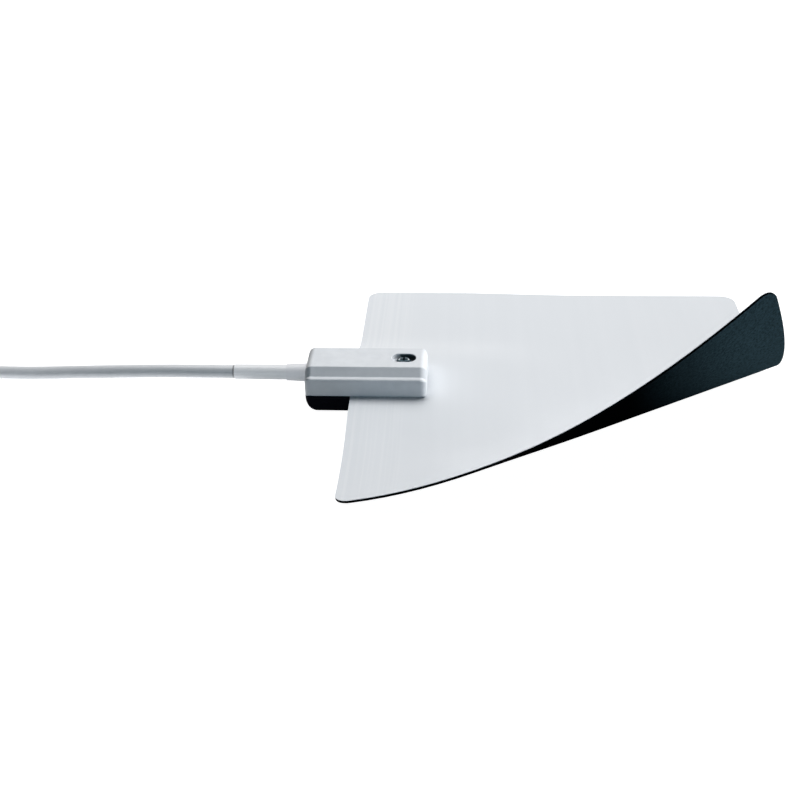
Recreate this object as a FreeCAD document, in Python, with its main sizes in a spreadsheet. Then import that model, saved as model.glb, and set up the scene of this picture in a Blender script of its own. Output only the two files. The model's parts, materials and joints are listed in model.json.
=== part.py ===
import FreeCAD, Part
import math
import os

import Sketcher

# Flat indoor TV antenna: a square flexible sheet, white on the face and black on the back, with one corner
# curled up. A two-piece housing clamps the middle of its left edge and holds the matching transformer and the
# cable's end. Positions are counted from the sheet's front left corner: x to the right, y to the back, and z
# up from the table. The document's own origin is under the middle of the antenna, without its loose cable.

SIZES = {
    # Sheet and its layers
    "sheet_side": 200.0,
    "sheet_corner": 7.0,
    "face_thick": 0.15,
    "glue_thick": 0.1,
    "back_thick": 0.9,
    "foil_thick": 0.1,
    # How the sheet lies: level in the clamp, down to the table around it, curled up at the front right corner
    "clamp_height": 6.3,
    "clamp_y": 93.2,
    "level_margin": 4.4,
    "droop_run": 80.0,
    "droop_side": 37.0,
    "corner_lift": 1.15,
    "bend_angle": 33.1,
    "bend_start": 148.0,
    "bend_radius": 59.3,
    "tip_radius": 165.0,
    "bend_lead": 16.0,
    # Printed radiator
    "foil_margin": 10.0,
    "feed_inset": 6.0,
    "feed_length": 36.0,
    "feed_gap": 8.0,
    "feed_width": 6.0,
    "flare_gap": 64.0,
    "foil_corner": 2.0,
    # Housing
    "cover_length": 56.9,
    "cover_depth": 30.2,
    "cover_height": 13.0,
    "cover_overhang": 21.3,
    "ledge_height": 9.45,
    "ledge_width": 2.7,
    "roof_inset": 6.0,
    "cover_wall": 1.8,
    "end_round": 3.2,
    "ledge_round": 1.0,
    "roof_round": 0.6,
    "shadow_gap": 0.8,
    "shadow_depth": 1.0,
    "cavity_round": 2.2,
    "base_floor": 2.6,
    "base_end_round": 7.0,
    "base_end_wall": 3.6,
    "base_round": 0.6,
    "fit_gap": 0.05,
    "seat_gap": 0.2,
    "tongue_thick": 1.2,
    "tongue_rise": 2.4,
    "tongue_width": 4.0,
    "tongue_inset": 0.8,
    # Screw and the places it passes through
    "screw_inset": 11.0,
    "screw_d": 3.0,
    "screw_head_d": 6.9,
    "screw_head_height": 1.7,
    "screw_crown_d": 4.8,
    "screw_crown_rise": 1.5,
    "screw_tip": 2.0,
    "screw_tip_d": 1.0,
    "slot_length": 4.0,
    "slot_width": 0.9,
    "slot_depth": 1.1,
    "recess_length": 11.3,
    "recess_width": 7.8,
    "recess_round": 3.7,
    "recess_rim": 0.3,
    "recess_depth": 2.4,
    "post_d": 14.0,
    "boss_d": 7.2,
    "pilot_depth": 4.3,
    "sheet_hole_d": 4.4,
    # Cable, bush and sleeve
    "cable_d": 6.4,
    "cable_height": 12.05,
    "bush_length": 9.9,
    "bush_tip_d": 8.0,
    "bush_root_d": 8.7,
    "bush_neck_d": 7.3,
    "bush_flange_d": 8.6,
    "bush_flange_thick": 1.4,
    "sleeve_length": 25.0,
    "sleeve_d": 7.2,
    "sleeve_chamfer": 0.15,
    "jacket_inside": 7.3,
    "braid_d": 4.4,
    "dielectric_d": 3.7,
    "dielectric_reach": 8.8,
    "conductor_d": 0.9,
    "conductor_reach": 4.2,
    "ferrule_d": 5.8,
    "ferrule_length": 4.4,
    "ferrule_tab_width": 1.7,
    "ferrule_tab_thick": 0.5,
    "ferrule_tab_reach": 6.2,
    # Matching transformer and its contacts
    "board_gap": 0.8,
    "board_width": 18.0,
    "board_thick": 1.2,
    "board_post_d": 3.0,
    "board_post_inset": 2.2,
    "core_length": 8.0,
    "core_width": 9.0,
    "core_height": 5.0,
    "core_hole_d": 2.2,
    "core_hole_pitch": 4.4,
    "wire_d": 1.0,
    "wire_overhang": 1.7,
    "contact_x": 9.0,
    "contact_length": 3.6,
    "contact_width": 3.0,
    "contact_thick": 0.3,
    "window_margin": 0.4,
    # Coil of the put-away length, and its tie
    "coil_x": -216.0,
    "coil_y": 66.0,
    "coil_radius": 32.0,
    "coil_turns_across": 3.0,
    "coil_turns_high": 2.0,
    "coil_round": 2.6,
    "coil_stub": 23.0,
    "tie_thick": 0.8,
    "tie_angle": 16.0,
    "tie_place": -60.0,
    # Plug
    "plug_d": 12.0,
    "plug_length": 24.0,
    "plug_tail_d": 8.4,
    "plug_tail_length": 10.0,
    "plug_round": 0.8,
    "shell_d": 9.525,
    "shell_wall": 0.8,
    "shell_reach": 10.0,
    "shell_seat": 4.0,
    "shell_seat_d": 8.8,
    "shell_chamfer": 0.3,
    "insulator_length": 3.6,
    "pin_d": 2.34,
    "pin_back": 0.5,
    "pin_tip": 0.8,
}

# Cable routes between their ends, as chosen points in the sheet's coordinates
RUN_POINTS = [
    (-70.0, 93.2, 12.05),
    (-90.0, 94.0, 11.65),
    (-113.0, 95.6, 10.2),
    (-137.0, 98.8, 7.65),
    (-160.0, 102.5, 4.75),
    (-179.0, 104.4, 4.0),
]
TAIL_POINTS = [
    (-254.4, 32.0, 10.4),
    (-252.5, 14.0, 7.9),
    (-251.0, -2.0, 6.0),
]
PLUG_BACK = (-251.0, -13.0)
ARC_SHARE = 0.45
TUBE_TOLERANCE = 0.001
SURFACE_SPANS = 30

doc = FreeCAD.newDocument("tv_antenna")
sheet = doc.addObject("Spreadsheet::Sheet", "Sizes")
for row, (alias, number) in enumerate(SIZES.items(), start=1):
    sheet.set("A%d" % row, alias)
    sheet.set("B%d" % row, str(number))
    sheet.setAlias("B%d" % row, alias)
doc.recompute()


class Dim:
    """A number of the sheet, or worked out from it, with the expression that gives it."""

    def __init__(self, text, number):
        self.text = text
        self.number = number

    def joined(self, sign, other, number):
        text = other.text if isinstance(other, Dim) else repr(float(other))
        return Dim("(%s %s %s)" % (self.text, sign, text), number)

    def __add__(self, other):
        return self.joined("+", other, self.number + plain(other))

    def __sub__(self, other):
        return self.joined("-", other, self.number - plain(other))

    def __mul__(self, other):
        return self.joined("*", other, self.number * plain(other))

    def __truediv__(self, other):
        return self.joined("/", other, self.number / plain(other))

    def __neg__(self):
        return self * -1


def plain(value):
    """The bare number of a Dim or of a number."""
    return value.number if isinstance(value, Dim) else float(value)


def dim(alias):
    """One size of the sheet."""
    return Dim("Sizes.%s" % alias, float(sheet.get(alias)))


def size(alias):
    """One size of the sheet as a bare number."""
    return float(sheet.get(alias))


# Sizes that several pieces share
sheet_thick = dim("face_thick") + dim("glue_thick") + dim("back_thick")
seam_height = dim("clamp_height") + sheet_thick + dim("fit_gap")
cover_right = dim("cover_length") - dim("cover_overhang")
screw_x = cover_right - dim("screw_inset")
cover_top = seam_height + dim("cover_height")
screw_seat = cover_top - dim("recess_depth")
cable_radius = dim("cable_d") / 2
board_top = dim("cable_height") - dim("conductor_d") / 2
board_bottom = board_top - dim("board_thick")
foil_top = dim("clamp_height") + dim("back_thick")
jacket_end = dim("jacket_inside") - dim("cover_overhang")
dielectric_end = jacket_end + dim("dielectric_reach")
board_left = dielectric_end + dim("seat_gap") * 2
board_right = screw_x - dim("post_d") / 2 - dim("board_gap")
core_middle = (dielectric_end + dim("conductor_reach") + board_right) / 2
core_left = core_middle - dim("core_length") / 2
contact_y = (dim("feed_gap") + dim("feed_width")) / 2
cable_out = dim("cover_overhang") + dim("bush_length")
sleeve_out = cable_out + dim("sleeve_length")
coil_width = dim("coil_turns_across") * dim("cable_d")
coil_height = dim("coil_turns_high") * dim("cable_d")
outer_turn = dim("coil_radius") + (coil_width - dim("cable_d")) / 2
first_layer = dim("tie_thick") + cable_radius
last_layer = dim("tie_thick") + coil_height - cable_radius
shell_inside = dim("shell_d") / 2 - dim("shell_wall")
shell_back = dim("plug_length") - dim("shell_seat")
shell_front = dim("plug_length") + dim("shell_reach")

ORIGIN_X = plain(dim("sheet_side") - sleeve_out) / 2
ORIGIN_Y = size("sheet_side") / 2


def spot(x, y, z):
    """A point of the sheet's coordinates in the document's frame."""
    return FreeCAD.Vector(plain(x) - ORIGIN_X, plain(y) - ORIGIN_Y, plain(z))


def bind(item, name, value):
    """Ties a property to the sheet."""
    item.setExpression(name, value.text)


def new_body(label, x, y, z, turn=0.0):
    """A PartDesign body named and placed, turned about the vertical."""
    body = doc.addObject("PartDesign::Body", label)
    body.Label = label
    body.Placement = FreeCAD.Placement(spot(x, y, z), FreeCAD.Rotation(FreeCAD.Vector(0, 0, 1), turn))
    return body


def new_sketch(body, role, lift=None):
    """A sketch on one of the body's own planes, lifted off it where asked."""
    drawing = body.newObject("Sketcher::SketchObject", body.Label + "_sketch")
    plane = next(item for item in body.Origin.OriginFeatures if item.Role == role)
    drawing.AttachmentSupport = [(plane, "")]
    drawing.MapMode = "FlatFace"
    if lift is not None:
        bind(drawing, "AttachmentOffset.Base.z", lift)
    return drawing


def hold_point(drawing, item, end, x, y):
    """Ties one point of a sketch to the sheet, or to an axis where its place is zero."""
    for kind, value, axis in (("DistanceX", x, -2), ("DistanceY", y, -1)):
        if isinstance(value, Dim):
            index = drawing.addConstraint(Sketcher.Constraint(kind, -1, 1, item, end, value.number))
            drawing.setExpression("Constraints[%d]" % index, value.text)
        else:
            drawing.addConstraint(Sketcher.Constraint("PointOnObject", item, end, axis))


def hold_radius(drawing, item, radius):
    index = drawing.addConstraint(Sketcher.Constraint("Radius", item, radius.number))
    drawing.setExpression("Constraints[%d]" % index, radius.text)


def flat(point):
    return FreeCAD.Vector(plain(point[0]), plain(point[1]), 0)


def draw_outline(drawing, points):
    """A closed outline of straight lines through bound points."""
    count = len(points)
    for i in range(count):
        drawing.addGeometry(Part.LineSegment(flat(points[i]), flat(points[(i + 1) % count])), False)
    for i in range(count):
        drawing.addConstraint(Sketcher.Constraint("Coincident", i, 2, (i + 1) % count, 1))
    for i, (x, y) in enumerate(points):
        hold_point(drawing, i, 1, x, y)


def draw_circle(drawing, x, y, radius):
    axis = FreeCAD.Vector(0, 0, 1)
    item = drawing.addGeometry(Part.Circle(flat((x, y)), axis, radius.number), False)
    hold_point(drawing, item, 3, x, y)
    hold_radius(drawing, item, radius)


def draw_rounded(drawing, left, right, low, high, radius):
    """A rectangle with round corners; its straight sides are held at both ends, its arcs by their radius."""
    sides = [
        ((left + radius, low), (right - radius, low)),
        ((right, low + radius), (right, high - radius)),
        ((right - radius, high), (left + radius, high)),
        ((left, high - radius), (left, low + radius)),
    ]
    centres = [(right - radius, low + radius), (right - radius, high - radius),
               (left + radius, high - radius), (left + radius, low + radius)]
    lines = [drawing.addGeometry(Part.LineSegment(flat(a), flat(b)), False) for a, b in sides]
    for k, centre in enumerate(centres):
        circle = Part.Circle(flat(centre), FreeCAD.Vector(0, 0, 1), radius.number)
        start = math.radians(-90 + 90 * k)
        arc = drawing.addGeometry(Part.ArcOfCircle(circle, start, start + math.pi / 2), False)
        drawing.addConstraint(Sketcher.Constraint("Coincident", arc, 1, lines[k], 2))
        drawing.addConstraint(Sketcher.Constraint("Coincident", arc, 2, lines[(k + 1) % 4], 1))
        hold_radius(drawing, arc, radius)
    for line, (a, b) in zip(lines, sides):
        hold_point(drawing, line, 1, *a)
        hold_point(drawing, line, 2, *b)


def pad(body, drawing, length, both_ways=False):
    feature = body.newObject("PartDesign::Pad", body.Label + "_pad")
    feature.Profile = drawing
    bind(feature, "Length", length)
    feature.Midplane = both_ways
    doc.recompute()
    return feature


def pocket(body, drawing, length, forward=False, both_ways=False):
    """Cuts against the sketch's normal, along it where forward is set, or half the length to each side."""
    before = body.Shape.Volume
    feature = body.newObject("PartDesign::Pocket", body.Label + "_pocket")
    feature.Profile = drawing
    bind(feature, "Length", length)
    feature.Reversed = forward
    feature.Midplane = both_ways
    doc.recompute()
    if body.Shape.Volume >= before:
        raise RuntimeError("a pocket of %s cuts nothing" % body.Label)
    return feature


def revolve(body, points, axis):
    """Turns an outline in the XZ plane about the sketch's V_Axis (Z) or H_Axis (X)."""
    drawing = new_sketch(body, "XZ_Plane")
    draw_outline(drawing, points)
    feature = body.newObject("PartDesign::Revolution", body.Label + "_revolution")
    feature.Profile = drawing
    feature.ReferenceAxis = (drawing, [axis])
    feature.Angle = 360.0
    doc.recompute()
    return feature


def edge_names(feature, test):
    return ["Edge%d" % (i + 1) for i, edge in enumerate(feature.Shape.Edges) if test(edge.BoundBox)]


def level(bounds, height):
    """Whether an edge lies flat at one height."""
    return abs(bounds.ZMin - height) < 1e-4 and abs(bounds.ZMax - height) < 1e-4


def dress(body, kind, base, names, name, value):
    """A fillet or chamfer on named edges."""
    feature = body.newObject("PartDesign::" + kind, body.Label + "_" + kind.lower())
    feature.Base = (base, names)
    bind(feature, name, value)
    doc.recompute()
    return feature


def tube_profile(start, end, inner, outer):
    return [(start, inner), (end, inner), (end, outer), (start, outer)]


def rod_profile(end, radius):
    return [(0, 0), (end, 0), (end, radius), (0, radius)]


# The lie of the sheet

def smooth_step(value):
    """0 to 1 with no slope and no curvature at either end."""
    t = min(max(value, 0.0), 1.0)
    return t * t * t * (t * (6 * t - 15) + 10)


def clamp_lift(x, y):
    """Height of the sheet's underside around the clamp."""
    across = (x - plain(cover_right) - size("level_margin")) / size("droop_run")
    level_half = size("cover_depth") / 2 + size("level_margin")
    along = (abs(y - size("clamp_y")) - level_half) / size("droop_side")
    side = size("clamp_height") - (size("clamp_height") - size("corner_lift")) * smooth_step(along)
    return side * (1 - smooth_step(across))


def curl(u):
    """Forward and upward travel at a distance u past the bend's start; it eases in and then opens out."""
    lead = size("bend_lead")
    if u <= -lead / 2:
        return u, 0.0
    tip = size("bend_start") * math.cos(math.radians(size("bend_angle")))
    tight = 1 / size("bend_radius")
    loose = 1 / size("tip_radius")
    steps = 240
    step = (u + lead / 2) / steps
    forward = -lead / 2
    rise = 0.0
    turn = 0.0
    for i in range(steps):
        s = -lead / 2 + (i + 0.5) * step
        ease = min((s + lead / 2) / lead, 1.0)
        curvature = ease * (tight + (loose - tight) * max(s, 0.0) / tip)
        middle = turn + curvature * step / 2
        forward += math.cos(middle) * step
        rise += math.sin(middle) * step
        turn += curvature * step
    return forward, rise


def lie(x, y):
    """Where a point of the flat sheet's underside lies on the table."""
    angle = math.radians(size("bend_angle"))
    along = (math.cos(angle), math.sin(angle))
    across = (math.sin(angle), -math.cos(angle))
    dx = x - size("sheet_side")
    dy = y - size("bend_start")
    g = dx * along[0] + dy * along[1]
    forward, rise = curl(dx * across[0] + dy * across[1])
    return FreeCAD.Vector(
        size("sheet_side") + g * along[0] + forward * across[0],
        size("bend_start") + g * along[1] + forward * across[1],
        rise + clamp_lift(x, y),
    )


def sheet_normal(x, y):
    nudge = 0.05
    slope_x = lie(x + nudge, y) - lie(x - nudge, y)
    slope_y = lie(x, y + nudge) - lie(x, y - nudge)
    return slope_x.cross(slope_y).normalize()


def make_surfaces(heights):
    """Spline surfaces at some heights over the underside, with the flat sheet's x and y as parameters."""
    span = size("sheet_side") / SURFACE_SPANS
    knots = [span * i for i in range(-1, SURFACE_SPANS + 2)]
    mults = [4] + [1] * (len(knots) - 2) + [4]
    places = [knots[0], knots[0] + span / 3] + knots[1:-1] + [knots[-1] - span / 3, knots[-1]]
    grid = [[(lie(x, y) + spot(0, 0, 0), sheet_normal(x, y)) for y in places] for x in places]
    surfaces = []
    for height in heights:
        poles = [[base + normal * height for base, normal in column] for column in grid]
        surface = Part.BSplineSurface()
        surface.buildFromPolesMultsKnots(poles, mults, mults, knots, knots, False, False, 3, 3)
        surfaces.append(surface)
    return surfaces


def plane_arc(start, top, end):
    """An arc through three points of the flat sheet's plane."""
    return Part.Geom2d.ArcOfCircle2d(*[FreeCAD.Base.Vector2d(p.x, p.y) for p in (start, top, end)])


def plane_line(start, end):
    return Part.Geom2d.Line2dSegment(*[FreeCAD.Base.Vector2d(p.x, p.y) for p in (start, end)])


def rounded_loop(corners, radius):
    """Closed loop of lines and arcs in the flat sheet's plane, through corners with one radius."""
    count = len(corners)
    points = [flat(corner) for corner in corners]
    trims = []
    for i, here in enumerate(points):
        back = (points[i - 1] - here).normalize()
        ahead = (points[(i + 1) % count] - here).normalize()
        half = back.getAngle(ahead) / 2
        middle = (back + ahead).normalize()
        cut = radius / math.tan(half)
        inward = radius / math.sin(half) - radius
        trims.append((here + back * cut, here + middle * inward, here + ahead * cut))
    curves = []
    for i, (enter, top, leave) in enumerate(trims):
        curves.append(plane_arc(enter, top, leave))
        curves.append(plane_line(leave, trims[(i + 1) % count][0]))
    return curves


def round_loop(x, y, radius):
    """A full circle as two arcs."""
    points = [flat((x + radius * math.cos(a), y + radius * math.sin(a)))
              for a in (0, math.pi / 2, math.pi, 1.5 * math.pi)]
    return [plane_arc(points[0], points[1], points[2]), plane_arc(points[2], points[3], points[0])]


def loop_edges(loop, surface):
    return [curve.toShape(surface) for curve in loop]


def face_on(surface, loops):
    """The part of a surface inside the first loop and outside the others."""
    wires = [Part.Wire(Part.__sortEdges__(loop_edges(loop, surface))) for loop in loops]
    face = Part.Face(surface, wires[0])
    face.validate()
    if len(wires) > 1:
        holes = [Part.Face(surface, wire) for wire in wires[1:]]
        for hole in holes:
            hole.validate()
        face = face.cut(Part.Compound(holes)).Faces[0]
    return face


def walls(loops, lower, upper):
    faces = []
    for loop in loops:
        for low, high in zip(loop_edges(loop, lower), loop_edges(loop, upper)):
            faces.append(Part.makeRuledSurface(low, high))
    return faces


def layer(label, lower, upper, loops, sunk=(), sunk_floor=None):
    """One layer of the sheet between two surfaces, with shallow beds sunk in its top where asked."""
    faces = [face_on(lower, loops), face_on(upper, list(loops) + list(sunk))]
    faces += walls(loops, lower, upper)
    for loop in sunk:
        faces.append(face_on(sunk_floor, [loop]))
        faces += walls([loop], sunk_floor, upper)
    shell = Part.makeShell(faces)
    shell.sewShape()
    solid = Part.makeSolid(shell)
    solid.fixTolerance(1e-4)
    item = doc.addObject("Part::Feature", label)
    item.Label = label
    item.Shape = solid if solid.Volume > 0 else solid.reversed()
    item.Placement = FreeCAD.Placement()
    return item


def radiator_loop(side):
    """Outline of one radiator plate: a feed strip from the clamp and a plate that flares to the right."""
    mid = size("clamp_y")
    inner = mid + side * size("feed_gap") / 2
    outer = inner + side * size("feed_width")
    flare = mid + side * size("flare_gap") / 2
    edge = size("sheet_side") - size("foil_margin") if side > 0 else size("foil_margin")
    far = size("sheet_side") - size("foil_margin")
    left = size("feed_inset")
    plate = left + size("feed_length")
    corners = [(left, inner), (plate, inner), (far, flare), (far, edge),
               (plate, edge), (plate, outer), (left, outer)]
    return rounded_loop(corners, size("foil_corner"))


def make_sheet():
    """Face film, back sheet and the two radiator plates bedded between them."""
    top = plain(sheet_thick)
    bed = size("back_thick")
    heights = [0.0, bed - size("foil_thick"), bed, bed + size("glue_thick"), top]
    underside, bed_floor, bed_top, film_back, film_face = make_surfaces(heights)
    side = size("sheet_side")
    outline = rounded_loop([(0.0, 0.0), (side, 0.0), (side, side), (0.0, side)], size("sheet_corner"))
    hole = round_loop(plain(screw_x), size("clamp_y"), size("sheet_hole_d") / 2)
    half_x = size("contact_length") / 2 + size("window_margin")
    half_y = size("contact_width") / 2 + size("window_margin")
    windows = []
    for turn in (-1, 1):
        x = size("contact_x")
        y = size("clamp_y") + turn * plain(contact_y)
        corners = [(x - half_x, y - half_y), (x + half_x, y - half_y),
                   (x + half_x, y + half_y), (x - half_x, y + half_y)]
        windows.append(rounded_loop(corners, size("window_margin")))
    plates = [radiator_loop(-1), radiator_loop(1)]
    layer("face_film", film_back, film_face, [outline, hole] + windows)
    layer("back_sheet", underside, bed_top, [outline, hole], plates, bed_floor)
    layer("radiator_foil_front", bed_floor, bed_top, [plates[0]])
    layer("radiator_foil_rear", bed_floor, bed_top, [plates[1]])


# Housing: both covers are drawn from the screw's axis

cover_end_right = dim("screw_inset")
cover_end_left = dim("screw_inset") - dim("cover_length")
cover_half = dim("cover_depth") / 2


def spans_housing(bounds):
    """Whether an edge runs along most of the housing."""
    return bounds.XLength > size("cover_length") / 2


def trim(body, role, left, right, low, high, radius, length):
    """Cuts away what lies outside a round-cornered outline, for half the length on each side of its plane."""
    beyond = dim("cover_length")
    drawing = new_sketch(body, role)
    draw_outline(drawing, [
        (left - beyond, low - beyond), (right + beyond, low - beyond),
        (right + beyond, high + beyond), (left - beyond, high + beyond),
    ])
    draw_rounded(drawing, left, right, low, high, radius)
    pocket(body, drawing, length, both_ways=True)


def make_upper_cover():
    """A shell with a ledge and a sloping band along its two long sides, and with round ends."""
    body = new_body("upper_cover", screw_x, dim("clamp_y"), seam_height)
    top = dim("cover_height")
    ledge = dim("ledge_height")
    foot = cover_half - dim("ledge_width")
    roof = cover_half - dim("roof_inset")
    drawing = new_sketch(body, "YZ_Plane", cover_end_left)
    draw_outline(drawing, [
        (-cover_half, 0), (cover_half, 0), (cover_half, ledge), (foot, ledge),
        (roof, top), (-roof, top), (-foot, ledge), (-cover_half, ledge),
    ])
    block = pad(body, drawing, dim("cover_length"))
    corner = dim("end_round")
    end_rims = edge_names(block, lambda b: b.XLength < 1e-4 and not level(b, 0.0))
    block = dress(body, "Fillet", block, end_rims, "Radius", corner)
    roof_rims = edge_names(block, lambda b: spans_housing(b) and level(b, top.number))
    block = dress(body, "Fillet", block, roof_rims, "Radius", dim("roof_round"))
    ledge_rims = edge_names(block, lambda b: spans_housing(b) and level(b, ledge.number)
                            and max(b.YMax, -b.YMin) > foot.number + 1e-4)
    dress(body, "Fillet", block, ledge_rims, "Radius", dim("ledge_round"))
    inset = dim("shadow_depth")
    trim(body, "XY_Plane", cover_end_left - corner, cover_end_right + corner, inset - cover_half,
         cover_half - inset, corner, dim("shadow_gap") * 2)
    wall = dim("cover_wall")
    for half, depth in ((cover_half - wall, ledge - wall), (roof, top - wall)):
        drawing = new_sketch(body, "XY_Plane")
        draw_rounded(drawing, cover_end_left + wall, cover_end_right - wall, -half, half, dim("cavity_round"))
        pocket(body, drawing, depth, forward=True)
    drawing = new_sketch(body, "XY_Plane", dim("seat_gap"))
    draw_circle(drawing, 0, 0, dim("post_d") / 2)
    pad(body, drawing, top - wall / 2 - dim("seat_gap"))
    drawing = new_sketch(body, "XY_Plane", top)
    draw_circle(drawing, 0, 0, dim("screw_d") / 2 + dim("seat_gap"))
    pocket(body, drawing, top * 2)
    recess_half = dim("recess_length") / 2
    recess_side = dim("recess_width") / 2
    drawing = new_sketch(body, "XY_Plane", top)
    draw_rounded(drawing, -recess_half, recess_half, -recess_side, recess_side, dim("recess_round"))
    recess = pocket(body, drawing, dim("recess_depth"))
    recess_rim = edge_names(recess, lambda b: level(b, top.number) and b.XMax < recess_half.number + 1e-4
                            and b.XMin > -recess_half.number - 1e-4 and b.YMax < recess_side.number + 1e-4)
    dress(body, "Fillet", recess, recess_rim, "Radius", dim("recess_rim"))
    drawing = new_sketch(body, "YZ_Plane", cover_end_left - wall)
    draw_circle(drawing, 0, dim("cable_height") - seam_height, dim("bush_neck_d") / 2 + dim("fit_gap"))
    pocket(body, drawing, wall * 2 + dim("seat_gap"), forward=True)


def make_lower_cover():
    """A tray whose ends sweep up in a large curve, with a bed for the sheet, a boss, posts and tongues."""
    body = new_body("lower_cover", screw_x, dim("clamp_y"), 0)
    drawing = new_sketch(body, "XY_Plane")
    draw_rounded(drawing, cover_end_left, cover_end_right, -cover_half, cover_half, dim("end_round"))
    pad(body, drawing, seam_height)
    ground = Dim("0", 0.0)
    above = seam_height * 3
    trim(body, "XZ_Plane", cover_end_left, cover_end_right, ground, above, dim("base_end_round"),
         dim("cover_depth") * 2)
    trim(body, "YZ_Plane", -cover_half, cover_half, ground, above, dim("base_round"), dim("cover_length") * 2)
    wall = dim("cover_wall")
    end_wall = dim("base_end_wall")
    drawing = new_sketch(body, "XY_Plane", seam_height)
    draw_rounded(drawing, cover_end_left + end_wall, cover_end_right - end_wall,
                 wall - cover_half, cover_half - wall, dim("cavity_round"))
    pocket(body, drawing, seam_height - dim("base_floor"))
    bed = dim("clamp_height") - dim("fit_gap")
    edge = -screw_x - dim("seat_gap")
    drawing = new_sketch(body, "XY_Plane", seam_height)
    draw_outline(drawing, [
        (edge, -(cover_half + wall)), (cover_end_right + wall, -(cover_half + wall)),
        (cover_end_right + wall, cover_half + wall), (edge, cover_half + wall),
    ])
    pocket(body, drawing, seam_height - bed)
    root = dim("base_floor") / 2
    drawing = new_sketch(body, "XY_Plane", root)
    draw_circle(drawing, 0, 0, dim("boss_d") / 2)
    pad(body, drawing, bed - root)
    drawing = new_sketch(body, "XY_Plane", bed)
    draw_circle(drawing, 0, 0, dim("screw_d") / 2 + dim("fit_gap"))
    pocket(body, drawing, dim("pilot_depth"))
    drawing = new_sketch(body, "XY_Plane", root)
    post_x = board_left - screw_x + dim("board_post_inset")
    post_y = dim("board_width") / 2 - dim("board_post_inset")
    for y in (-post_y, post_y):
        draw_circle(drawing, post_x, y, dim("board_post_d") / 2)
    pad(body, drawing, board_bottom - root)
    inner = cover_end_left + wall + dim("seat_gap")
    tongue_high = cover_half - wall - dim("tongue_inset") - dim("cavity_round")
    tongue_low = tongue_high - dim("tongue_width")
    for low, high in ((tongue_low, tongue_high), (-tongue_high, -tongue_low)):
        drawing = new_sketch(body, "XY_Plane", seam_height / 2)
        draw_outline(drawing, [(inner, low), (inner + dim("tongue_thick"), low),
                               (inner + dim("tongue_thick"), high), (inner, high)])
        pad(body, drawing, seam_height / 2 + dim("tongue_rise"))


def make_screw():
    body = new_body("clamp_screw", screw_x, dim("clamp_y"), screw_seat)
    length = screw_seat - dim("clamp_height") + dim("pilot_depth") - dim("seat_gap") * 2
    radius = dim("screw_d") / 2
    head = dim("screw_head_d") / 2
    under = dim("fit_gap")
    crown = dim("screw_head_height")
    revolve(body, [
        (0, -length), (dim("screw_tip_d") / 2, -length), (radius, dim("screw_tip") - length), (radius, under),
        (head, under), (head, crown / 2), (dim("screw_crown_d") / 2, dim("screw_crown_rise")), (0, crown),
    ], "V_Axis")
    long = dim("slot_length") / 2
    wide = dim("slot_width") / 2
    drawing = new_sketch(body, "XY_Plane", crown)
    draw_outline(drawing, [
        (-long, -wide), (-wide, -wide), (-wide, -long), (wide, -long), (wide, -wide), (long, -wide),
        (long, wide), (wide, wide), (wide, long), (-wide, long), (-wide, wide), (-long, wide),
    ])
    pocket(body, drawing, dim("slot_depth"))


def tube(label, points, radius):
    """A round wire or cable along straight runs joined by arcs as large as the runs allow."""
    edges = []
    spots = [spot(*point) for point in points]
    here = spots[0]
    for back, corner, ahead in zip(spots, spots[1:], spots[2:]):
        to_back = back - corner
        to_ahead = ahead - corner
        cut = ARC_SHARE * min(to_back.Length, to_ahead.Length)
        half_turn = (math.pi - to_back.getAngle(to_ahead)) / 2
        to_back.normalize()
        to_ahead.normalize()
        arc_radius = cut / math.tan(half_turn)
        inward = math.hypot(cut, arc_radius) - arc_radius
        top = corner + (to_back + to_ahead).normalize() * inward
        edges.append(Part.LineSegment(here, corner + to_back * cut).toShape())
        edges.append(Part.Arc(corner + to_back * cut, top, corner + to_ahead * cut).toShape())
        here = corner + to_ahead * cut
        print("%s: bend radius %.1f mm" % (label, arc_radius))
    edges.append(Part.LineSegment(here, spots[-1]).toShape())
    path = Part.Wire(edges)
    ring = Part.Wire(Part.Circle(spots[0], spots[1] - spots[0], radius.number).toShape())
    item = doc.addObject("Part::Feature", label)
    item.Label = label
    item.Shape = path.makePipeShell([ring], True, False)
    item.Placement = FreeCAD.Placement()
    ratio = item.Shape.Volume / (math.pi * radius.number ** 2 * path.Length)
    print("%s: length %.1f mm, volume over section times length %.5f" % (label, path.Length, ratio))
    if abs(ratio - 1) > TUBE_TOLERANCE:
        raise RuntimeError("the tube of %s is not whole" % label)


# Matching transformer

def make_board():
    item = doc.addObject("Part::Box", "balun_board")
    item.Label = "balun_board"
    bind(item, "Length", board_right - board_left)
    bind(item, "Width", dim("board_width"))
    bind(item, "Height", dim("board_thick"))
    corner = spot(board_left, dim("clamp_y") - dim("board_width") / 2, board_bottom)
    item.Placement = FreeCAD.Placement(corner, FreeCAD.Rotation())


def make_core():
    body = new_body("balun_core", core_left, dim("clamp_y"), board_top)
    half = dim("core_width") / 2
    drawing = new_sketch(body, "YZ_Plane")
    draw_outline(drawing, [(-half, 0), (half, 0), (half, dim("core_height")), (-half, dim("core_height"))])
    for y in (-dim("core_hole_pitch") / 2, dim("core_hole_pitch") / 2):
        draw_circle(drawing, y, dim("core_height") / 2, dim("core_hole_d") / 2)
    pad(body, drawing, dim("core_length"))


def make_winding():
    """A wire up from the board, through one hole of the core, back through the other and down again."""
    left = core_left - dim("wire_overhang")
    right = left + dim("core_length") + dim("wire_overhang") * 2
    front = dim("clamp_y") - dim("core_hole_pitch") / 2
    rear = front + dim("core_hole_pitch")
    middle = board_top + dim("core_height") / 2
    points = [(left, front, board_top), (left, front, middle), (right, front, middle),
              (right, rear, middle), (left, rear, middle), (left, rear, board_top)]
    tube("balun_winding", points, dim("wire_d") / 2)


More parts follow.
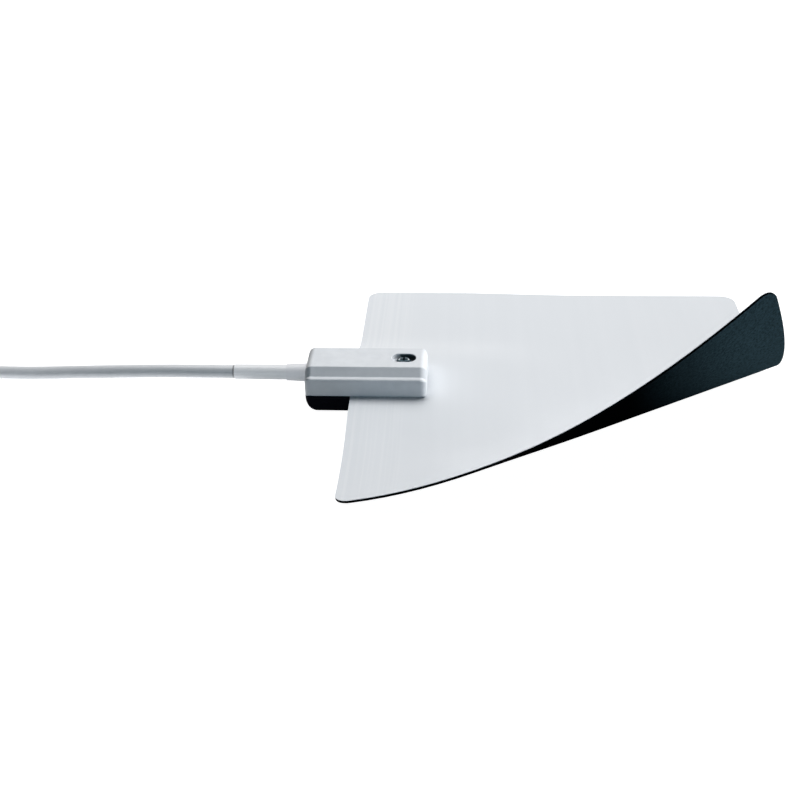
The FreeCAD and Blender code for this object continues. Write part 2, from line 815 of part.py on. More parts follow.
def make_contacts():
    """Two C-shaped springs between the board and the ends of the feed strips."""
    half = dim("contact_length") / 2
    thick = dim("contact_thick")
    height = board_bottom - foil_top - dim("fit_gap")
    for label, side in (("contact_spring_front", -1), ("contact_spring_rear", 1)):
        body = new_body(label, dim("contact_x"), dim("clamp_y") + contact_y * side, foil_top + dim("fit_gap"))
        drawing = new_sketch(body, "XZ_Plane")
        draw_outline(drawing, [
            (-half, 0), (half, 0), (half, thick), (thick - half, thick),
            (thick - half, height - thick), (half, height - thick), (half, height), (-half, height),
        ])
        pad(body, drawing, dim("contact_width"), both_ways=True)


# Cable end in the housing

def turned(label, x, points):
    """A piece turned about the cable's axis where it enters the housing."""
    body = new_body(label, x, dim("clamp_y"), dim("cable_height"))
    revolve(body, points, "H_Axis")
    return body


def make_cable_end():
    gap = dim("fit_gap")
    wall = dim("cover_wall") + gap
    bore = cable_radius + gap
    tip = -dim("bush_length")
    neck = dim("bush_neck_d") / 2
    flange = dim("bush_flange_d") / 2
    flange_end = wall + dim("bush_flange_thick")
    turned("cable_bush", -dim("cover_overhang"), [
        (tip, bore), (tip, dim("bush_tip_d") / 2), (-gap, dim("bush_root_d") / 2), (-gap, neck),
        (wall, neck), (wall, flange), (flange_end, flange), (flange_end, bore),
    ])
    sleeve = dim("sleeve_d") / 2
    sleeve_end = -dim("sleeve_length")
    chamfer = dim("sleeve_chamfer")
    turned("cable_sleeve", -cable_out, [
        (-gap, bore), (-gap, sleeve), (sleeve_end + chamfer, sleeve),
        (sleeve_end, sleeve - chamfer), (sleeve_end, bore),
    ])
    braid = dim("braid_d") / 2
    dielectric = dim("dielectric_d") / 2
    crimp = dim("ferrule_length")
    turned("cable_inlet", jacket_end, rod_profile(-(sleeve_out + jacket_end), cable_radius))
    turned("cable_braid", jacket_end, tube_profile(0, crimp, dielectric + gap, braid))
    turned("cable_dielectric", jacket_end, rod_profile(dim("dielectric_reach"), dielectric))
    turned("cable_conductor", dielectric_end, rod_profile(dim("conductor_reach"), dim("conductor_d") / 2))
    ferrule = turned("shield_ferrule", jacket_end, tube_profile(0, crimp, braid + gap, dim("ferrule_d") / 2))
    inner = braid + gap * 2
    outer = inner + dim("ferrule_tab_width")
    tab_end = crimp + dim("ferrule_tab_reach")
    drawing = new_sketch(ferrule, "XY_Plane", board_top - dim("cable_height"))
    draw_outline(drawing, [(crimp / 2, inner), (tab_end, inner), (tab_end, outer), (crimp / 2, outer)])
    pad(ferrule, drawing, dim("ferrule_tab_thick"))


# Loose cable

def coil_section(drawing, grow=0.0):
    """Round-cornered section of the coil's bundle, grown outwards where asked."""
    low = dim("tie_thick")
    half = coil_width / 2
    draw_rounded(drawing, dim("coil_radius") - half - grow, dim("coil_radius") + half + grow,
                 low - grow, low + coil_height + grow, dim("coil_round") + grow)


def make_loose_cable():
    exit_point = (-sleeve_out, dim("clamp_y"), dim("cable_height"))
    entry = (dim("coil_x") + dim("coil_stub"), dim("coil_y") + outer_turn, first_layer)
    tube("cable_run", [exit_point] + RUN_POINTS + [entry], cable_radius)

    body = new_body("cable_coil", dim("coil_x"), dim("coil_y"), 0)
    drawing = new_sketch(body, "XZ_Plane")
    coil_section(drawing)
    ring = body.newObject("PartDesign::Revolution", "cable_coil_ring")
    ring.Profile = drawing
    ring.ReferenceAxis = (drawing, ["V_Axis"])
    ring.Angle = 360.0
    doc.recompute()
    drawing = new_sketch(body, "YZ_Plane")
    draw_circle(drawing, outer_turn, first_layer, cable_radius)
    pad(body, drawing, dim("coil_stub"))
    drawing = new_sketch(body, "XZ_Plane")
    draw_circle(drawing, -outer_turn, last_layer, cable_radius)
    pad(body, drawing, dim("coil_stub"))

    body = new_body("coil_tie", dim("coil_x"), dim("coil_y"), 0, size("tie_place"))
    drawing = new_sketch(body, "XZ_Plane")
    coil_section(drawing, dim("tie_thick"))
    coil_section(drawing)
    band = body.newObject("PartDesign::Revolution", "coil_tie_band")
    band.Profile = drawing
    band.ReferenceAxis = (drawing, ["V_Axis"])
    bind(band, "Angle", dim("tie_angle"))
    doc.recompute()

    start = (dim("coil_x") - outer_turn, dim("coil_y") - dim("coil_stub"), last_layer)
    tube("cable_tail", [start] + TAIL_POINTS + [PLUG_BACK + (dim("plug_d") / 2,)], cable_radius)


def make_plug():
    """Push-on coaxial plug, lying on the table and pointing to the front."""
    def piece(label, points):
        body = new_body(label, PLUG_BACK[0], PLUG_BACK[1], dim("plug_d") / 2, -90.0)
        return body, revolve(body, points, "H_Axis")

    gap = dim("fit_gap")
    seat = dim("shell_seat_d") / 2
    hole = seat + gap
    length = dim("plug_length")
    body, turned_body = piece("plug_body", [
        (0, 0), (0, dim("plug_tail_d") / 2), (dim("plug_tail_length"), dim("plug_d") / 2),
        (length, dim("plug_d") / 2), (length, hole), (shell_back, hole), (shell_back, 0),
    ])
    front = length.number
    widest = size("plug_d") - size("fit_gap")
    rim = edge_names(turned_body, lambda b: abs(b.XMin - front) < 1e-4 and b.YLength > widest)
    dress(body, "Fillet", turned_body, rim, "Radius", dim("plug_round"))
    chamfer = dim("shell_chamfer")
    outer = dim("shell_d") / 2
    piece("plug_shell", [
        (shell_back, shell_inside), (shell_back, seat), (length + gap, seat), (length + gap, outer),
        (shell_front - chamfer, outer), (shell_front, outer - chamfer), (shell_front, shell_inside),
    ])
    pin = dim("pin_d") / 2
    disc_end = shell_back + dim("insulator_length")
    piece("plug_insulator", tube_profile(shell_back, disc_end, pin + gap, shell_inside - gap))
    tip = shell_front - dim("pin_back")
    piece("plug_pin", [
        (shell_back, 0), (shell_back, pin), (tip - dim("pin_tip"), pin), (tip, pin / 2), (tip, 0),
    ])


make_sheet()
make_upper_cover()
make_lower_cover()
make_screw()
make_board()
make_core()
make_winding()
make_contacts()
make_cable_end()
make_loose_cable()
make_plug()
doc.recompute()

PART_KINDS = ("PartDesign::Body", "Part::Feature", "Part::Box")
parts = [item for item in doc.Objects if item.TypeId in PART_KINDS]
for item in doc.Objects:
    if "Invalid" in item.State or "Error" in item.State:
        raise RuntimeError("%s did not recompute: %s" % (item.Label, item.State))
for item in parts:
    if item.Shape.isNull() or not item.Shape.isValid() or not item.Shape.Solids:
        raise RuntimeError("%s has no sound solid" % item.Label)
os.makedirs("parts", exist_ok=True)
for item in parts:
    item.Shape.exportStep(os.path.join("parts", item.Label + ".step"))
print("%d parts written" % len(parts))
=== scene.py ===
"""Flat indoor TV antenna on a white table: looks, cable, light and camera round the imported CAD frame."""
import json
import math

import bpy
from mathutils import Matrix, Vector

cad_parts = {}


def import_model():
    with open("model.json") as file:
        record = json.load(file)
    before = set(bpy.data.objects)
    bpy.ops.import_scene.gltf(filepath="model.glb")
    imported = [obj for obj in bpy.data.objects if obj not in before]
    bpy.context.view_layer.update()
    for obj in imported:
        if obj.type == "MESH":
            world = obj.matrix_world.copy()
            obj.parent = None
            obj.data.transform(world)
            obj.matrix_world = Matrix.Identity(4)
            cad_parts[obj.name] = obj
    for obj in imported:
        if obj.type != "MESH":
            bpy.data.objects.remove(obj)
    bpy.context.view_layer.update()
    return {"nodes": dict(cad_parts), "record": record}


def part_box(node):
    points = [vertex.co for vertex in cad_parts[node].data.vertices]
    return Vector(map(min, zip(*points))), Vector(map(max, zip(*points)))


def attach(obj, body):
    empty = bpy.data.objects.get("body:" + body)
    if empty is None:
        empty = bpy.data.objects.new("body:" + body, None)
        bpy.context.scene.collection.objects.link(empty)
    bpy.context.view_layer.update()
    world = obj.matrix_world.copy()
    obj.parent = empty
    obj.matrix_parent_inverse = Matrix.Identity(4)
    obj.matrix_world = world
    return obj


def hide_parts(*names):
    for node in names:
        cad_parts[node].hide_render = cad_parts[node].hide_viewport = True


MM = 0.001

# Directions
LEFT = (-1.0, 0.0, 0.0)
RIGHT = (1.0, 0.0, 0.0)
DOWN = (0.0, 0.0, -1.0)
UP = (0.0, 0.0, 1.0)

# Camera, fitted to the outline of the sheet and the housing in the photograph, in millimetres and radians
IMAGE_SIDE = 800
FOCAL_PX = 1143.37
SENSOR_MM = 36.0
CAMERA_PLACE = (-20.156, -475.259, 282.653)
CAMERA_PITCH = 0.54644
CAMERA_YAW = -0.06267
CAMERA_ROLL = -0.02191

# Table, in metres apart from its drop below the object in millimetres
TABLE_HALF_SIDE = 6.0
TABLE_DROP = 0.3
TABLE_COLOUR = (0.5, 0.5, 0.5)

# Light: plain studio level, bright behind and above, dim and cool on the camera's side
SKY_COLOUR = (0.7, 0.88, 1.0)
SKY_STRENGTH = 0.01
PLAIN_WHITE = (1.0, 1.0, 1.0)
COOL_WHITE = (0.46, 0.78, 1.0)

# White of the table and the room as the camera sees them
SEEN_WHITE = 0.995

# Where the lamps point, and the small lamp that lies on the table below the cable, in metres
TABLE_MIDDLE = (0.0, 0.0, 0.0)
HOUSING_PLACE = (-0.06, 0.0, 0.0)
SLEEVE_PLACE = (-0.12, 0.0, 0.01)
BELOW_CABLE = (-0.214, 0.0, 0.0001)
ABOVE_CABLE = (-0.214, 0.0, 1.0)

# Grain: features a metre along x, y and z
FILM_BANDS = (160.0, 3.0, 40.0)
FILM_STREAKS = (560.0, 2.0, 40.0)
FILM_SHEEN = (60.0, 60.0, 60.0)
FILM_TEXTURE = (900.0, 900.0, 900.0)
BACK_PAINTED_LIGHT_GRAIN = (1000.0, 1000.0, 1000.0)
BACK_TEXTURE = (1100.0, 1100.0, 1100.0)
MOULD_CLOUDS = (220.0, 220.0, 220.0)
MOULD_SHEEN = (90.0, 90.0, 90.0)
MOULD_TEXTURE = (2600.0, 2600.0, 2600.0)
DRAWN_MARKS = (1500.0, 1500.0, 300.0)
BRAID_WEAVE = (1200.0, 1200.0, 1200.0)

# Streaks in from the sheet's left edge, and where the painted light on its back begins, in millimetres
STREAKS_REACH = 32.0
STREAKS_FULL = 18.0
PAINTED_LIGHT_DIRECTION = (1.0, 0.0, 0.3)
PAINTED_LIGHT_START = 58.0
PAINTED_LIGHT_FULL = 118.0

# Painted shade in the screw's recess: round a place beside the screw, and below the cover's top, in
# millimetres
RECESS_SHADE_SHIFT = 1.3
RECESS_SHADE_REACH = 5.6
RECESS_SHADE_FULL = 4.8
RECESS_SHADE_START_DEPTH = 0.2
RECESS_SHADE_FULL_DEPTH = 0.7

# Painted glints on the screw, either side of its middle, in millimetres
GLINT_SPOT_OFFSET = 2.0
GLINT_SPOT_REACH = 0.95
GLINT_SPOT_FULL = 0.45

# Painted shadow on the cable: out from the sleeve's mouth, and below and above the cable's middle, in
# millimetres
MOUTH_SHADOW_REACH = 1.1
MOUTH_SHADOW_FULL = 0.5
MOUTH_SHADOW_BELOW = 4.0
MOUTH_SHADOW_ABOVE = 1.0

# Roughness: how far it varies over a piece
MOULD_ROUGHNESS_SPREAD = 0.05
METAL_SMOOTHER = 0.06
METAL_ROUGHER = 0.1

# Moulded pieces without marks of their own: dark tone, light tone, roughness and height of the texture
MOULDED = {
    "board": dict(low=(0.03, 0.17, 0.07), high=(0.05, 0.24, 0.1), roughness=0.35, bump_mm=0.01),
    "ferrite": dict(low=(0.03, 0.03, 0.034), high=(0.055, 0.055, 0.06), roughness=0.7, bump_mm=0.03),
    "bush_grey": dict(low=(0.72, 0.725, 0.75), high=(0.76, 0.765, 0.79), roughness=0.45, bump_mm=0.02),
    "sleeve_grey": dict(low=(0.74, 0.75, 0.77), high=(0.78, 0.79, 0.81), roughness=0.38, bump_mm=0.02),
    "dielectric": dict(low=(0.84, 0.84, 0.82), high=(0.9, 0.9, 0.88), roughness=0.5, bump_mm=0.02),
    "tie_black": dict(low=(0.015, 0.015, 0.016), high=(0.03, 0.03, 0.032), roughness=0.75, bump_mm=0.08),
    "plug_grey": dict(low=(0.6, 0.62, 0.64), high=(0.64, 0.66, 0.68), roughness=0.3, bump_mm=0.012),
}

# Drawn metal pieces: dark tone, light tone and roughness
DRAWN = {
    "foil": dict(low=(0.74, 0.74, 0.76), high=(0.84, 0.84, 0.86), roughness=0.25),
    "copper": dict(low=(0.66, 0.33, 0.17), high=(0.76, 0.42, 0.24), roughness=0.25),
    "contact_brass": dict(low=(0.72, 0.55, 0.25), high=(0.82, 0.66, 0.34), roughness=0.25),
    "plug_nickel": dict(low=(0.42, 0.41, 0.39), high=(0.56, 0.545, 0.52), roughness=0.18),
}

# Cable: its route between the sleeve, the coil and the plug, in millimetres
CABLE_DIAMETER = 6.4
CABLE_EXIT = (-128.1, -6.8, 12.05)
RUN_POINTS = [
    (-141.9, -6.8, 12.05),
    (-161.9, -6.0, 11.65),
    (-184.9, -4.4, 10.2),
    (-208.9, -1.2, 7.65),
    (-231.9, 2.5, 4.75),
    (-250.9, 4.4, 4.0),
    (-264.9, 4.4, 4.0),
]
TAIL_POINTS = [
    (-326.3, -57.0, 10.4),
    (-326.3, -68.0, 10.4),
    (-324.4, -86.0, 7.9),
    (-322.9, -102.0, 6.0),
    (-322.9, -113.0, 6.0),
]

# Coil: radius and height of its first ring in millimetres, and where the turns shift and climb, in turns
COIL_CENTRE = (-287.9, -34.0)
COIL_OUTER_RADIUS = 38.4
COIL_LAYER = 4.0
COIL_START = 0.25
COIL_TURNS = 5.25
COIL_POINTS_A_TURN = 24
INWARD_SHIFTS = (5 / 6, 11 / 6)
CLIMB = 8 / 3
OUTWARD_SHIFTS = (3.5, 4.5)
SHIFT_LENGTH = 1 / 6


def main():
    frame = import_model()
    bpy.context.scene.view_settings.view_transform = "Standard"
    make_camera()
    make_table()
    make_world()
    nodes = frame["nodes"]
    looks = make_looks()
    for part in frame["record"]["subparts"]:
        dress(nodes[part["node"]], looks[part["material_slot"]])
    cable = make_cable(looks["cable_grey"])
    housing = [nodes["upper_cover"], nodes["clamp_screw"]]
    fittings = [nodes["cable_sleeve"], nodes["cable_bush"]]
    make_lights(housing, fittings, cable)


# Stage

def make_camera():
    """The photograph's camera: looking down at the table, turned slightly left and slightly rolled."""
    forward = Vector((
        math.sin(CAMERA_YAW) * math.cos(CAMERA_PITCH),
        math.cos(CAMERA_YAW) * math.cos(CAMERA_PITCH),
        -math.sin(CAMERA_PITCH),
    ))
    level = Vector((math.cos(CAMERA_YAW), -math.sin(CAMERA_YAW), 0.0))
    upright = level.cross(forward)
    right = level * math.cos(CAMERA_ROLL) + upright * math.sin(CAMERA_ROLL)
    up = upright * math.cos(CAMERA_ROLL) - level * math.sin(CAMERA_ROLL)
    data = bpy.data.cameras.new("camera")
    data.sensor_width = SENSOR_MM
    data.lens = SENSOR_MM * FOCAL_PX / IMAGE_SIDE
    data.clip_start = 0.01
    camera = bpy.data.objects.new("camera", data)
    turn = Matrix((right, up, -forward)).transposed().to_4x4()
    camera.matrix_world = Matrix.Translation(Vector(CAMERA_PLACE) * MM) @ turn
    bpy.context.scene.collection.objects.link(camera)
    bpy.context.scene.camera = camera


def make_table():
    """A wide white table top."""
    half = TABLE_HALF_SIDE
    height = -TABLE_DROP * MM
    corners = [(-half, -half, height), (half, -half, height), (half, half, height), (-half, half, height)]
    mesh = bpy.data.meshes.new("floor")
    mesh.from_pydata(corners, [], [(0, 1, 2, 3)])
    floor = bpy.data.objects.new("floor", mesh)
    bpy.context.scene.collection.objects.link(floor)
    mesh.materials.append(table_look())


def seen_rays(tree):
    """1 for rays from the camera, also by way of gloss or glass, and 0 for rays that carry light."""
    path = tree.nodes.new("ShaderNodeLightPath")
    total = path.outputs["Is Camera Ray"]
    for name in ("Is Glossy Ray", "Is Transmission Ray"):
        highest = tree.nodes.new("ShaderNodeMath")
        highest.operation = "MAXIMUM"
        tree.links.new(total, highest.inputs[0])
        tree.links.new(path.outputs[name], highest.inputs[1])
        total = highest.outputs[0]
    return total


def table_look():
    """White to the eye, and grey to the light that it throws back."""
    look = bpy.data.materials.new("floor")
    look.use_nodes = True
    tree = look.node_tree
    tree.nodes.clear()
    paint = tree.nodes.new("ShaderNodeBsdfDiffuse")
    paint.inputs["Color"].default_value = (*TABLE_COLOUR, 1.0)
    glow = tree.nodes.new("ShaderNodeEmission")
    fill = tree.nodes.new("ShaderNodeMath")
    fill.operation = "MULTIPLY"
    fill.inputs[1].default_value = SEEN_WHITE
    both = tree.nodes.new("ShaderNodeAddShader")
    out = tree.nodes.new("ShaderNodeOutputMaterial")
    tree.links.new(seen_rays(tree), fill.inputs[0])
    tree.links.new(fill.outputs[0], glow.inputs["Strength"])
    tree.links.new(paint.outputs[0], both.inputs[0])
    tree.links.new(glow.outputs[0], both.inputs[1])
    tree.links.new(both.outputs[0], out.inputs["Surface"])
    return look


def make_world():
    """White to the eye, and a soft, low sky for the light."""
    world = bpy.data.worlds.new("studio")
    bpy.context.scene.world = world
    world.use_nodes = True
    tree = world.node_tree
    tree.nodes.clear()
    sky = tree.nodes.new("ShaderNodeBackground")
    sky.inputs["Color"].default_value = (*SKY_COLOUR, 1.0)
    sky.inputs["Strength"].default_value = SKY_STRENGTH
    white = tree.nodes.new("ShaderNodeBackground")
    white.inputs["Color"].default_value = (*PLAIN_WHITE, 1.0)
    white.inputs["Strength"].default_value = SEEN_WHITE
    mix = tree.nodes.new("ShaderNodeMixShader")
    out = tree.nodes.new("ShaderNodeOutputWorld")
    tree.links.new(seen_rays(tree), mix.inputs[0])
    tree.links.new(sky.outputs[0], mix.inputs[1])
    tree.links.new(white.outputs[0], mix.inputs[2])
    tree.links.new(mix.outputs[0], out.inputs["Surface"])


def softbox(name, place, aim, width, height, power, colour=PLAIN_WHITE):
    """A rectangular lamp that faces the place it is aimed at, in metres and watts."""
    data = bpy.data.lights.new(name, "AREA")
    data.shape = "RECTANGLE"
    data.size = width
    data.size_y = height
    data.energy = power
    data.color = colour
    lamp = bpy.data.objects.new(name, data)
    lamp.location = place
    lamp.rotation_euler = (Vector(aim) - Vector(place)).to_track_quat("-Z", "Y").to_euler()
    bpy.context.scene.collection.objects.link(lamp)
    return lamp


def link_light(lamp, pieces, state="INCLUDE"):
    """Keeps a lamp's light to some pieces, or with EXCLUDE from them."""
    lit = bpy.data.collections.new(lamp.name + "_pieces")
    for piece in pieces:
        lit.objects.link(piece)
    for entry in lit.collection_objects:
        entry.light_linking.link_state = state
    lamp.light_linking.receiver_collection = lit


def make_lights(housing, fittings, cable):
    """Softboxes round the table, and smaller ones for the housing, the cable's fittings and the cable."""
    top_light = softbox(
        "top_light", place=(0.0, 0.5, 1.22), aim=TABLE_MIDDLE, width=1.4, height=0.75, power=17.0
    )
    link_light(top_light, housing, "EXCLUDE")
    softbox("back_light", place=(0.0, 1.5, 0.9), aim=TABLE_MIDDLE, width=2.2, height=1.2, power=5.5)
    softbox(
        "front_light", place=(0.0, -1.3, 0.3), aim=TABLE_MIDDLE, width=1.4, height=0.5, power=2.0,
        colour=COOL_WHITE,
    )
    side_light = softbox(
        "side_light", place=(1.75, 0.73, 1.58), aim=HOUSING_PLACE, width=1.2, height=1.0, power=97.0
    )
    link_light(side_light, housing)
    side_light.visible_glossy = False
    low_light = softbox(
        "low_light", place=(-0.2, -0.9, 0.05), aim=SLEEVE_PLACE, width=0.5, height=0.1, power=1.5
    )
    link_light(low_light, fittings)
    table_light = softbox(
        "table_light", place=BELOW_CABLE, aim=ABOVE_CABLE, width=0.18, height=0.06, power=0.03
    )
    table_light.visible_camera = False
    link_light(table_light, [cable, *fittings])


# Patterns

def grain(look, scale, detail=3.0):
    """Noise over the object, with a scale for each direction in features a metre."""
    nodes = look.node_tree.nodes
    links = look.node_tree.links
    place = nodes.new("ShaderNodeTexCoord")
    stretch = nodes.new("ShaderNodeMapping")
    stretch.inputs["Scale"].default_value = scale
    noise = nodes.new("ShaderNodeTexNoise")
    noise.inputs["Scale"].default_value = 1.0
    noise.inputs["Detail"].default_value = detail
    links.new(place.outputs["Object"], stretch.inputs["Vector"])
    links.new(stretch.outputs["Vector"], noise.inputs["Vector"])
    return noise.outputs["Fac"]


def measure(look, coordinate, operation, vector):
    """One number at each place of the surface: its coordinate or normal taken with a fixed vector."""
    nodes = look.node_tree.nodes
    place = nodes.new("ShaderNodeTexCoord")
    number = nodes.new("ShaderNodeVectorMath")
    number.operation = operation
    number.inputs[1].default_value = vector
    look.node_tree.links.new(place.outputs[coordinate], number.inputs[0])
    return number.outputs["Value"]


def between(look, value, start, end):
    """0 to 1 between two values of a pattern, or 1 to 0 where the first is the larger."""
    span = look.node_tree.nodes.new("ShaderNodeMapRange")
    span.interpolation_type = "SMOOTHSTEP"
    span.inputs["From Min"].default_value = start
    span.inputs["From Max"].default_value = end
    look.node_tree.links.new(value, span.inputs["Value"])
    return span.outputs["Result"]


def rise(look, direction, start, end):
    """0 to 1 over the object along a direction, between two distances from the origin in millimetres."""
    return between(look, measure(look, "Object", "DOT_PRODUCT", direction), start * MM, end * MM)


def facing(look, direction, start, end):
    """0 to 1 as the surface turns towards a direction, between two cosines."""
    return between(look, measure(look, "Normal", "DOT_PRODUCT", direction), start, end)


def spot(look, centre, reach, full):
    """0 to 1 towards a place, between two distances from it in millimetres."""
    return between(look, measure(look, "Object", "DISTANCE", centre), reach * MM, full * MM)


def product(look, first, *others):
    """Patterns multiplied."""
    for other in others:
        times = look.node_tree.nodes.new("ShaderNodeMath")
        times.operation = "MULTIPLY"
        look.node_tree.links.new(first, times.inputs[0])
        look.node_tree.links.new(other, times.inputs[1])
        first = times.outputs[0]
    return first


# Looks

def new_look(name, colour, roughness, gloss=0.5, metallic=0.0):
    """A principled material with its constants on the shader's own sockets."""
    look = bpy.data.materials.new(name)
    look.use_nodes = True
    shader = look.node_tree.nodes["Principled BSDF"]
    shader.inputs["Base Color"].default_value = (*colour, 1.0)
    shader.inputs["Roughness"].default_value = roughness
    shader.inputs["Specular IOR Level"].default_value = gloss
    shader.inputs["Metallic"].default_value = metallic
    return look


def tint(look, pattern, low, high, start=0.3, end=0.7):
    """Varies the colour between two tones by a pattern."""
    nodes = look.node_tree.nodes
    tones = nodes.new("ShaderNodeValToRGB")
    tones.color_ramp.elements[0].position = start
    tones.color_ramp.elements[0].color = (*low, 1.0)
    tones.color_ramp.elements[1].position = end
    tones.color_ramp.elements[1].color = (*high, 1.0)
    look.node_tree.links.new(pattern, tones.inputs["Fac"])
    look.node_tree.links.new(tones.outputs["Color"], nodes["Principled BSDF"].inputs["Base Color"])


def overlay(look, pattern, colour):
    """Lays one more tone over a tinted colour where a pattern is 1."""
    nodes = look.node_tree.nodes
    links = look.node_tree.links
    socket = nodes["Principled BSDF"].inputs["Base Color"]
    mix = nodes.new("ShaderNodeMix")
    mix.data_type = "RGBA"
    links.new(pattern, mix.inputs["Factor"])
    links.new(socket.links[0].from_socket, mix.inputs["A"])
    mix.inputs["B"].default_value = (*colour, 1.0)
    links.new(mix.outputs["Result"], socket)


def matten(look, pattern, low, high):
    """Varies the roughness by a pattern."""
    nodes = look.node_tree.nodes
    span = nodes.new("ShaderNodeMapRange")
    span.inputs["To Min"].default_value = low
    span.inputs["To Max"].default_value = high
    look.node_tree.links.new(pattern, span.inputs["Value"])
    look.node_tree.links.new(span.outputs["Result"], nodes["Principled BSDF"].inputs["Roughness"])


def emboss(look, pattern, height_mm, strength):
    """Raises the surface by a pattern, by a height in millimetres."""
    nodes = look.node_tree.nodes
    bump = nodes.new("ShaderNodeBump")
    bump.inputs["Strength"].default_value = strength
    bump.inputs["Distance"].default_value = height_mm * MM
    look.node_tree.links.new(pattern, bump.inputs["Height"])
    look.node_tree.links.new(bump.outputs["Normal"], nodes["Principled BSDF"].inputs["Normal"])


def moulded_look(name, low, high, roughness, bump_mm, gloss=0.5):
    """Moulded plastic with a fine spark-eroded texture."""
    look = new_look(name, high, roughness, gloss=gloss)
    tint(look, grain(look, MOULD_CLOUDS), low, high)
    smoother = roughness - MOULD_ROUGHNESS_SPREAD
    rougher = roughness + MOULD_ROUGHNESS_SPREAD
    matten(look, grain(look, MOULD_SHEEN), smoother, rougher)
    emboss(look, grain(look, MOULD_TEXTURE, detail=2.0), bump_mm, strength=0.5)
    return look


def metal_look(name, low, high, roughness, marks=DRAWN_MARKS):
    """Bright metal with fine marks."""
    look = new_look(name, high, roughness, metallic=1.0)
    tint(look, grain(look, marks), low, high)
    matten(look, grain(look, marks), roughness - METAL_SMOOTHER, roughness + METAL_ROUGHER)
    return look


def film_look():
    """Satin white face with faint fine streaks beside the sheet's left edge."""
    look = new_look("white_film", colour=(0.74, 0.76, 0.79), roughness=0.42, gloss=0.4)
    tint(look, grain(look, FILM_BANDS), low=(0.728, 0.757, 0.79), high=(0.742, 0.77, 0.803))
    edge = -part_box("face_film")[0].x / MM
    streaks = product(
        look,
        between(look, grain(look, FILM_STREAKS), start=0.42, end=0.62),
        rise(look, LEFT, edge - STREAKS_REACH, edge - STREAKS_FULL),
    )
    overlay(look, streaks, colour=(0.768, 0.793, 0.822))
    matten(look, grain(look, FILM_SHEEN), low=0.36, high=0.48)
    emboss(look, grain(look, FILM_TEXTURE), height_mm=0.01, strength=0.3)
    return look


def back_look():
    """Matt black with a fine grain, with painted light below towards the free corner and painted shade,
    near black, elsewhere.
    """
    look = new_look("black_sheet", colour=(0.014, 0.026, 0.033), roughness=0.8, gloss=0.0)
    # Painted light and shade on the back: lighter slate towards the free corner, near black by the fold
    painted_light_and_shade = product(
        look,
        grain(look, BACK_PAINTED_LIGHT_GRAIN),
        rise(look, PAINTED_LIGHT_DIRECTION, PAINTED_LIGHT_START, PAINTED_LIGHT_FULL),
        facing(look, DOWN, start=0.0, end=0.15),
    )
    tint(look, painted_light_and_shade, low=(0.001, 0.0014, 0.0018), high=(0.097, 0.17, 0.203), start=0.0, end=0.7)
    emboss(look, grain(look, BACK_TEXTURE, detail=4.0), height_mm=0.08, strength=0.6)
    return look


def upper_cover_look():
    """Grey plastic with painted shade in the screw's recess, less at its left end."""
    look = moulded_look(
        "cover_grey", low=(0.59, 0.615, 0.645), high=(0.64, 0.665, 0.695), roughness=0.36, bump_mm=0.09
    )
    low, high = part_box("clamp_screw")
    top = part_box("upper_cover")[1].z
    darkest = ((low.x + high.x) / 2 + RECESS_SHADE_SHIFT * MM, (low.y + high.y) / 2, top)
    # Painted shade in the recess, below the cover's top
    painted_shade = product(
        look,
        spot(look, darkest, RECESS_SHADE_REACH, RECESS_SHADE_FULL),
        rise(look, DOWN, RECESS_SHADE_START_DEPTH - top / MM, RECESS_SHADE_FULL_DEPTH - top / MM),
    )
    overlay(look, painted_shade, colour=(0.06, 0.085, 0.1))
    return look


def lower_cover_look():
    """Black plastic with hardly any gloss."""
    return moulded_look(
        "cover_black", low=(0.002, 0.002, 0.004), high=(0.004, 0.004, 0.007), roughness=0.5, bump_mm=0.012,
        gloss=0.01,
    )


def screw_look():
    """Dark blue-grey steel, with painted glints at two ends of the cross."""
    look = metal_look("screw_steel", low=(0.012, 0.03, 0.042), high=(0.03, 0.058, 0.075), roughness=0.2)
    low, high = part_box("clamp_screw")
    for offset in (-GLINT_SPOT_OFFSET, GLINT_SPOT_OFFSET):
        slot_end = ((low.x + high.x) / 2 + offset * MM, (low.y + high.y) / 2, high.z)
        # Painted glint: a bright spot on the head
        glint = spot(look, slot_end, GLINT_SPOT_REACH, GLINT_SPOT_FULL)
        overlay(look, glint, colour=(0.4, 0.43, 0.45))
    return look


def cable_look():
    """Pale grey jacket with a painted shadow line at the sleeve's mouth, most on top."""
    look = moulded_look(
        "cable_grey", low=(0.61, 0.625, 0.65), high=(0.65, 0.665, 0.69), roughness=0.4, bump_mm=0.02
    )
    mouth_x, _, middle_z = CABLE_EXIT
    # Painted shadow of the sleeve's lip on the cable
    painted_shade = product(
        look,
        rise(look, RIGHT, mouth_x - MOUTH_SHADOW_REACH, mouth_x - MOUTH_SHADOW_FULL),
        rise(look, UP, middle_z - MOUTH_SHADOW_BELOW, middle_z + MOUTH_SHADOW_ABOVE),
    )
    overlay(look, painted_shade, colour=(0.17, 0.18, 0.19))
    return look


def braid_look():
    """Bright woven wire."""
    return metal_look(
        "braid", low=(0.5, 0.5, 0.5), high=(0.72, 0.72, 0.72), roughness=0.35, marks=BRAID_WEAVE
    )


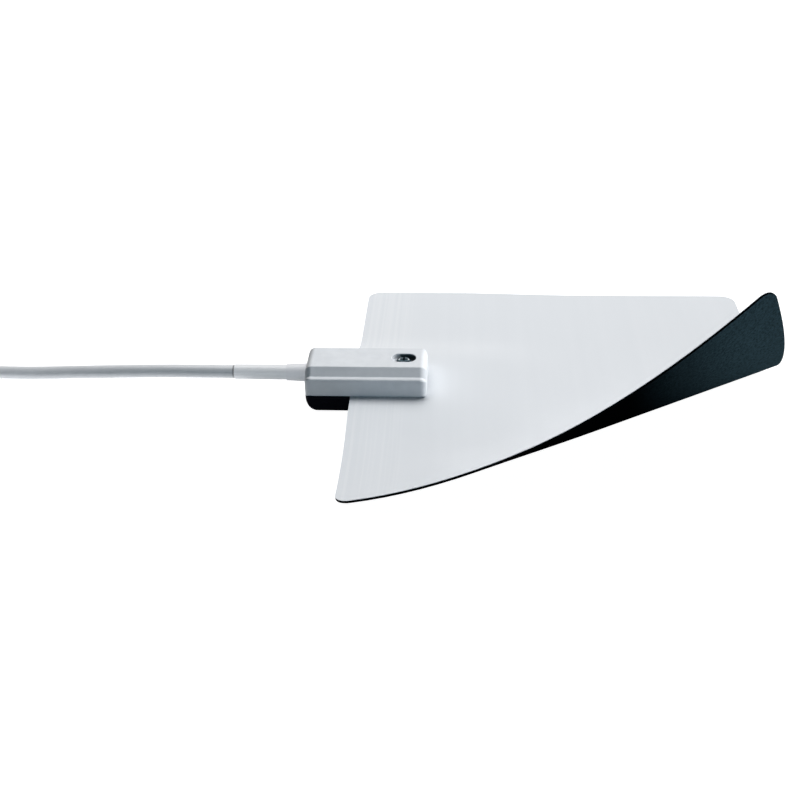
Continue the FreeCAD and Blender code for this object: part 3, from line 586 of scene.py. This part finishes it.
def make_looks():
    """One material for each slot of the record."""
    looks = {
        "white_film": film_look(),
        "black_sheet": back_look(),
        "cover_grey": upper_cover_look(),
        "cover_black": lower_cover_look(),
        "screw_steel": screw_look(),
        "cable_grey": cable_look(),
        "braid": braid_look(),
    }
    for slot, values in MOULDED.items():
        looks[slot] = moulded_look(slot, **values)
    for slot, values in DRAWN.items():
        looks[slot] = metal_look(slot, **values)
    return looks


def dress(node, look):
    """Gives a CAD node its material."""
    node.data.materials.clear()
    node.data.materials.append(look)


# Cable

def share_done(turn, start):
    """How much of a shift or climb that starts at some turn is done, from 0 to 1."""
    return min(max((turn - start) / SHIFT_LENGTH, 0.0), 1.0)


def coil_points():
    """Turns of the coil: inwards on the table in three rings, up, and outwards again on top of them."""
    # The curve runs inside its points, so they stand a little further out than the ring
    swell = 1 / math.cos(math.pi / COIL_POINTS_A_TURN)
    points = []
    for i in range(round(COIL_TURNS * COIL_POINTS_A_TURN) + 1):
        turn = i / COIL_POINTS_A_TURN
        inward = sum(share_done(turn, start) for start in INWARD_SHIFTS)
        outward = sum(share_done(turn, start) for start in OUTWARD_SHIFTS)
        radius = (COIL_OUTER_RADIUS + CABLE_DIAMETER * (outward - inward)) * swell
        angle = 2 * math.pi * (turn + COIL_START)
        points.append((
            COIL_CENTRE[0] + radius * math.cos(angle),
            COIL_CENTRE[1] + radius * math.sin(angle),
            COIL_LAYER + CABLE_DIAMETER * share_done(turn, CLIMB),
        ))
    return points


def make_cable(look):
    """The loose cable from the sleeve to the plug as one smooth curve."""
    route = [CABLE_EXIT] + RUN_POINTS + coil_points() + TAIL_POINTS
    curve = bpy.data.curves.new("cable", "CURVE")
    curve.dimensions = "3D"
    curve.bevel_depth = CABLE_DIAMETER / 2 * MM
    curve.bevel_resolution = 8
    curve.use_fill_caps = True
    spline = curve.splines.new("NURBS")
    spline.points.add(len(route) - 1)
    for point, place in zip(spline.points, route):
        point.co = (*(Vector(place) * MM), 1.0)
    spline.order_u = 3
    spline.use_endpoint_u = True
    spline.resolution_u = 6
    cable = bpy.data.objects.new("cable", curve)
    bpy.context.scene.collection.objects.link(cable)
    curve.materials.append(look)
    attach(cable, "root")
    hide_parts("cable_run", "cable_coil", "cable_tail")
    return cable


main()
